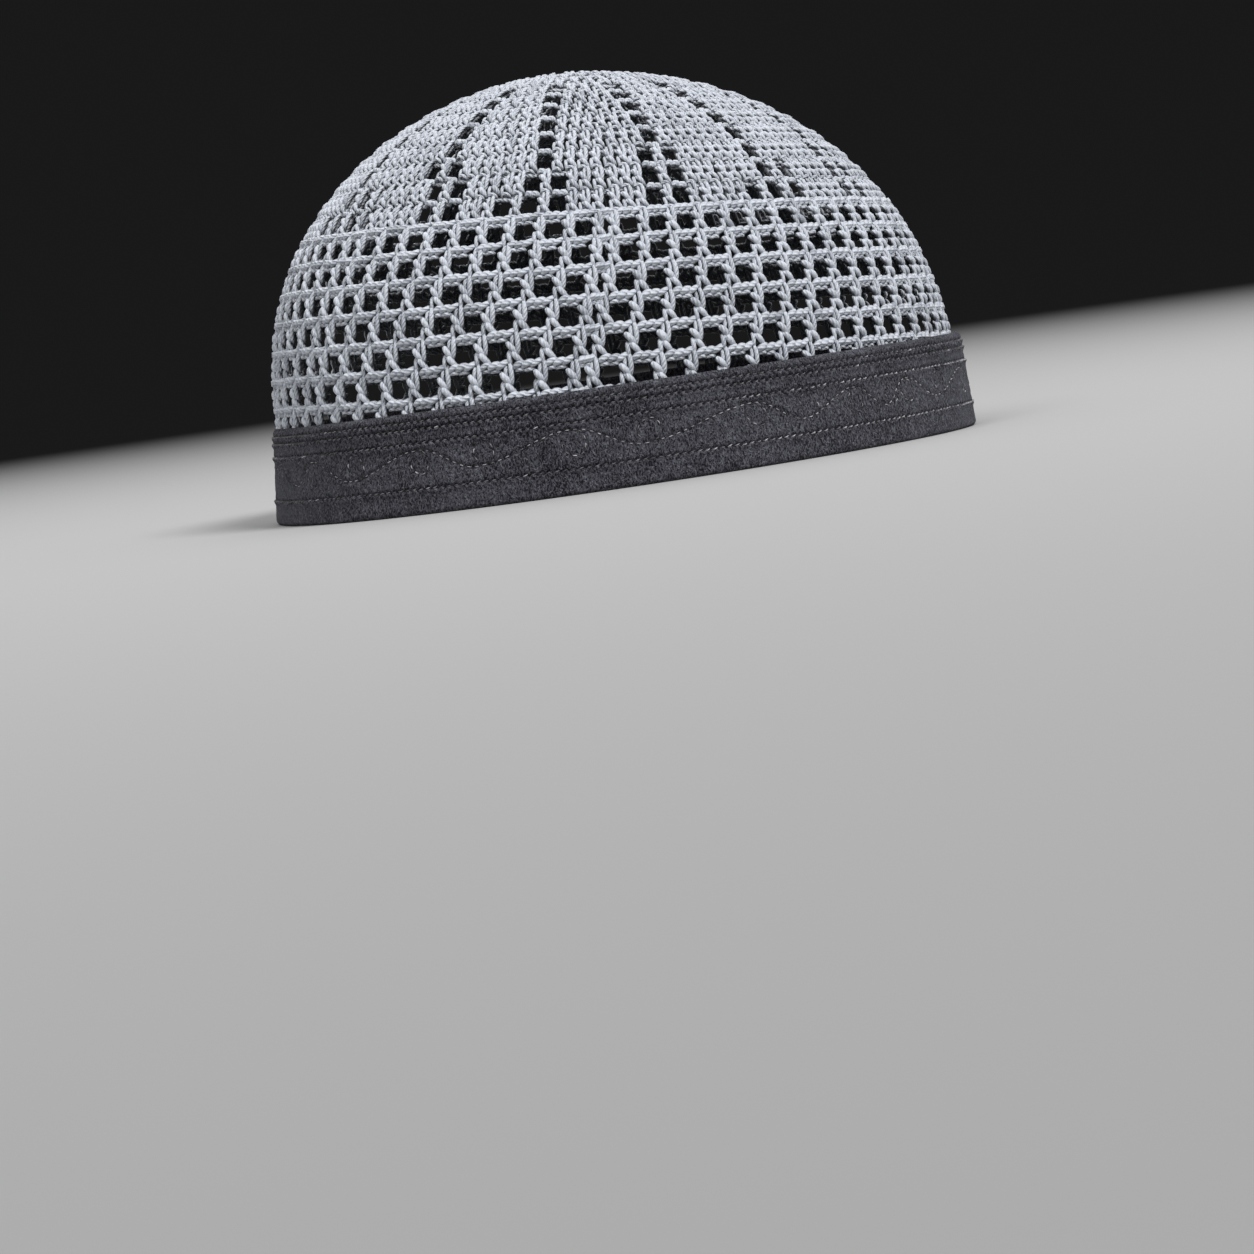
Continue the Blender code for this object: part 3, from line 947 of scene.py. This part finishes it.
def thread_along(strands, curve, bright, fades=VINE_FADES, count=None, slant=0.0):
    """Sews running stitches along a curve given as length round and height, in millimetres.

    bright is the share of stitches that lie on top of the nap. It drops between the two shares in
    fades, counted from the front.
    """
    reached = np.concatenate([[0.0], np.cumsum(np.hypot(*np.diff(curve, axis=0).T))])
    count = count or int(reached[-1] / STITCH_PITCH_MM)
    starts = (np.arange(count) + 0.5) * reached[-1] / count - 0.5 * STITCH_LENGTH_MM
    points = len(THREAD_OUT_MM)
    places = starts[:, None] + np.linspace(0.0, STITCH_LENGTH_MM, points)
    along = np.interp(places, reached, curve[:, 0])
    height = np.interp(places, reached, curve[:, 1]) + RNG.normal(0.0, THREAD_STRAY_MM, (count, 1))
    height = height + slant * np.linspace(-0.5, 0.5, points)
    place, normal, _ = band_outer(along.ravel(), height.ravel(), np.tile(THREAD_OUT_MM, count))
    share = along[:, 0] / BAND_GIRTH_MM % 1.0
    from_front = np.minimum(share, 1.0 - share)
    fading = np.clip((from_front - fades[0]) / (fades[1] - fades[0]), 0.0, 1.0)
    shows = RNG.random(count) < bright * (1.0 - FADED_SHARE * fading)
    tones = np.where(shows, RNG.uniform(*SHOWN_TONES, count), RNG.uniform(*SUNK_TONES, count))
    radii = np.full((count, points), THREAD_RADIUS_MM * MM)
    strands.add(place.reshape(count, points, 3), normal.reshape(count, points, 3), radii, tones)


def sew_band():
    """All the quilting: four border lines, the vine and its leaves."""
    strands = Strands()
    whole = np.linspace(0.0, BAND_GIRTH_MM, LINE_SAMPLES)
    for line in STITCH_LINES:
        level = np.full_like(whole, line["height"])
        thread_along(strands, np.stack([whole, level], -1), line["bright"], line["fades"],
                     BORDER_STITCHES, BORDER_SLANT_MM)
    thread_along(strands, np.stack([whole, vine_height(whole)], -1), VINE_BRIGHT)
    for loop in LEAVES:
        thread_along(strands, loop, LEAF_BRIGHT)
    return strands


def sun(name, look):
    """A broad far light from an azimuth round the cap and an elevation over it."""
    data = bpy.data.lights.new(name, "SUN")
    data.energy = look["strength"]
    data.angle = math.radians(look["spread"])
    lamp = bpy.data.objects.new(name, data)
    azimuth = math.radians(look["azimuth"])
    elevation = math.radians(look["elevation"])
    toward = Vector((math.sin(azimuth) * math.cos(elevation), -math.cos(azimuth) * math.cos(elevation),
                     math.sin(elevation)))
    lamp.rotation_euler = toward.to_track_quat("Z", "Y").to_euler()
    bpy.context.scene.collection.objects.link(lamp)


def make_sky():
    """A world that is dim along the horizon and brightens overhead."""
    world = bpy.data.worlds.new("studio")
    world.use_nodes = True
    bpy.context.scene.world = world
    tree = world.node_tree
    toward = add_node(tree, "ShaderNodeTexCoord").outputs["Generated"]
    axes = add_node(tree, "ShaderNodeSeparateXYZ", {0: toward})
    tone = map_range(tree, axes.outputs[2], SKY_RISE, (HORIZON_TONE, OVERHEAD_TONE), "SMOOTHSTEP")
    tree.links.new(tone, tree.nodes["Background"].inputs[0])


def light_on_floor():
    """How bright the sky and the suns make a white floor."""
    rise = np.linspace(0.0, 1.0, SKY_SAMPLES)
    ease = np.clip((rise - SKY_RISE[0]) / (SKY_RISE[1] - SKY_RISE[0]), 0.0, 1.0)
    tone = HORIZON_TONE + (OVERHEAD_TONE - HORIZON_TONE) * ease**2 * (3.0 - 2.0 * ease)
    received = 2.0 * float(np.mean(tone * rise))
    for look in SUNS.values():
        received += look["strength"] * math.sin(math.radians(look["elevation"])) / math.pi
    return received


def make_floor():
    """A pale floor, with a painted falloff of light that darkens it into the dim backdrop far from the cap,
    and painted shade that darkens it under the cap.
    """
    half = 0.5 * FLOOR_SIZE
    corners = [(-half, -half, 0), (half, -half, 0), (half, half, 0), (-half, half, 0)]
    mesh = bpy.data.meshes.new("floor")
    mesh.from_pydata(corners, [], [(0, 1, 2, 3)])
    floor = bpy.data.objects.new("floor", mesh)
    bpy.context.scene.collection.objects.link(floor)
    material, tree, shader = node_tree("floor")
    place = add_node(tree, "ShaderNodeTexCoord").outputs["Object"]
    away = add_node(tree, "ShaderNodeVectorMath", {0: place}, operation="LENGTH").outputs["Value"]
    # Painted falloff of light: the floor darkens with distance until, under the suns and sky, it matches the
    # dim horizon
    tones = (FLOOR_TONE, HORIZON_TONE / light_on_floor())
    tone = map_range(tree, away, FLOOR_PAINTED_FALLOFF, tones, "SMOOTHSTEP")
    # Painted shade: the floor inside the cap's rim is darkened
    to_oval = (2.0 / RIM_WIDTH, 2.0 / RIM_LENGTH, 0.0)
    oval = add_node(tree, "ShaderNodeVectorMath", {0: place, 1: to_oval}, operation="MULTIPLY")
    middle = add_node(tree, "ShaderNodeVectorMath", {0: oval.outputs[0]}, operation="LENGTH")
    under_cap_shade = map_range(tree, middle.outputs["Value"], UNDER_CAP_SHADE_EDGE, (UNDER_CAP_SHADE_TONE, 1.0))
    shade = maths(tree, "MULTIPLY", tone, under_cap_shade)
    grey = add_node(tree, "ShaderNodeCombineColor", {0: shade, 1: shade, 2: shade})
    set_inputs(tree, shader, {"Base Color": grey.outputs[0], "Roughness": 1.0, "Specular IOR Level": 0.0})
    mesh.materials.append(material)


def make_camera():
    """The photograph's view: a long lens, almost level and rolled a little."""
    flat = math.cos(CAMERA_ELEVATION)
    back = Vector((-math.cos(CAMERA_TURN) * flat, math.sin(CAMERA_TURN) * flat, math.sin(CAMERA_ELEVATION)))
    ahead = -back
    right = ahead.cross(Vector((0.0, 0.0, 1.0))).normalized()
    up = right.cross(ahead)
    axes = Matrix((right, up, ahead))
    roll = Matrix.Rotation(CAMERA_ROLL, 3, "Z")
    half = 0.5 * PHOTO_PIXELS
    aim = Vector(((AIM_PIXEL[0] - half) / FOCAL_PIXELS, (half - AIM_PIXEL[1]) / FOCAL_PIXELS, 1.0))
    turned = Vector((0.0, 0.0, 1.0)).rotation_difference(aim).to_matrix() @ roll @ axes
    data = bpy.data.cameras.new("camera")
    data.sensor_width = SENSOR_WIDTH
    data.lens = FOCAL_PIXELS * SENSOR_WIDTH / PHOTO_PIXELS
    camera = bpy.data.objects.new("camera", data)
    placed = Matrix((turned[0], turned[1], -turned[2])).transposed().to_4x4()
    placed.translation = Vector((0.0, 0.0, AIM_HEIGHT)) + CAMERA_DISTANCE * back
    camera.matrix_world = placed
    bpy.context.scene.collection.objects.link(camera)
    bpy.context.scene.camera = camera


def fit(piece, node):
    """Rides a piece on the cap and hides the node of the model that it replaces."""
    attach(piece, "root")
    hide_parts(node)


def main():
    """Sets up the studio, dresses the crown and the band, and hides the model's parts that the pieces
    replace.
    """
    bpy.context.scene.view_settings.view_transform = "Standard"
    make_camera()
    make_sky()
    make_floor()
    for name, look in SUNS.items():
        sun(name, look)
    yarn = yarn_material()
    velvet = velvet_material()
    groups = {name: Strands() for name in ("net_posts", "net_chains", "rows_low", "rows_middle", "rows_top",
                                           "eyelet_chains", "row_backs")}
    add_net(groups["net_posts"], groups["net_chains"])
    add_crown_top(groups)
    for name, strands in groups.items():
        sides = BACK_SIDES if name == "row_backs" else TUBE_SIDES
        fit(strands.build(name, yarn, sides), "crown")
    band = make_band(velvet)
    fit(band, "band")
    fit(sew_band().build("band_stitching", thread_material(), THREAD_SIDES), "band")


main()
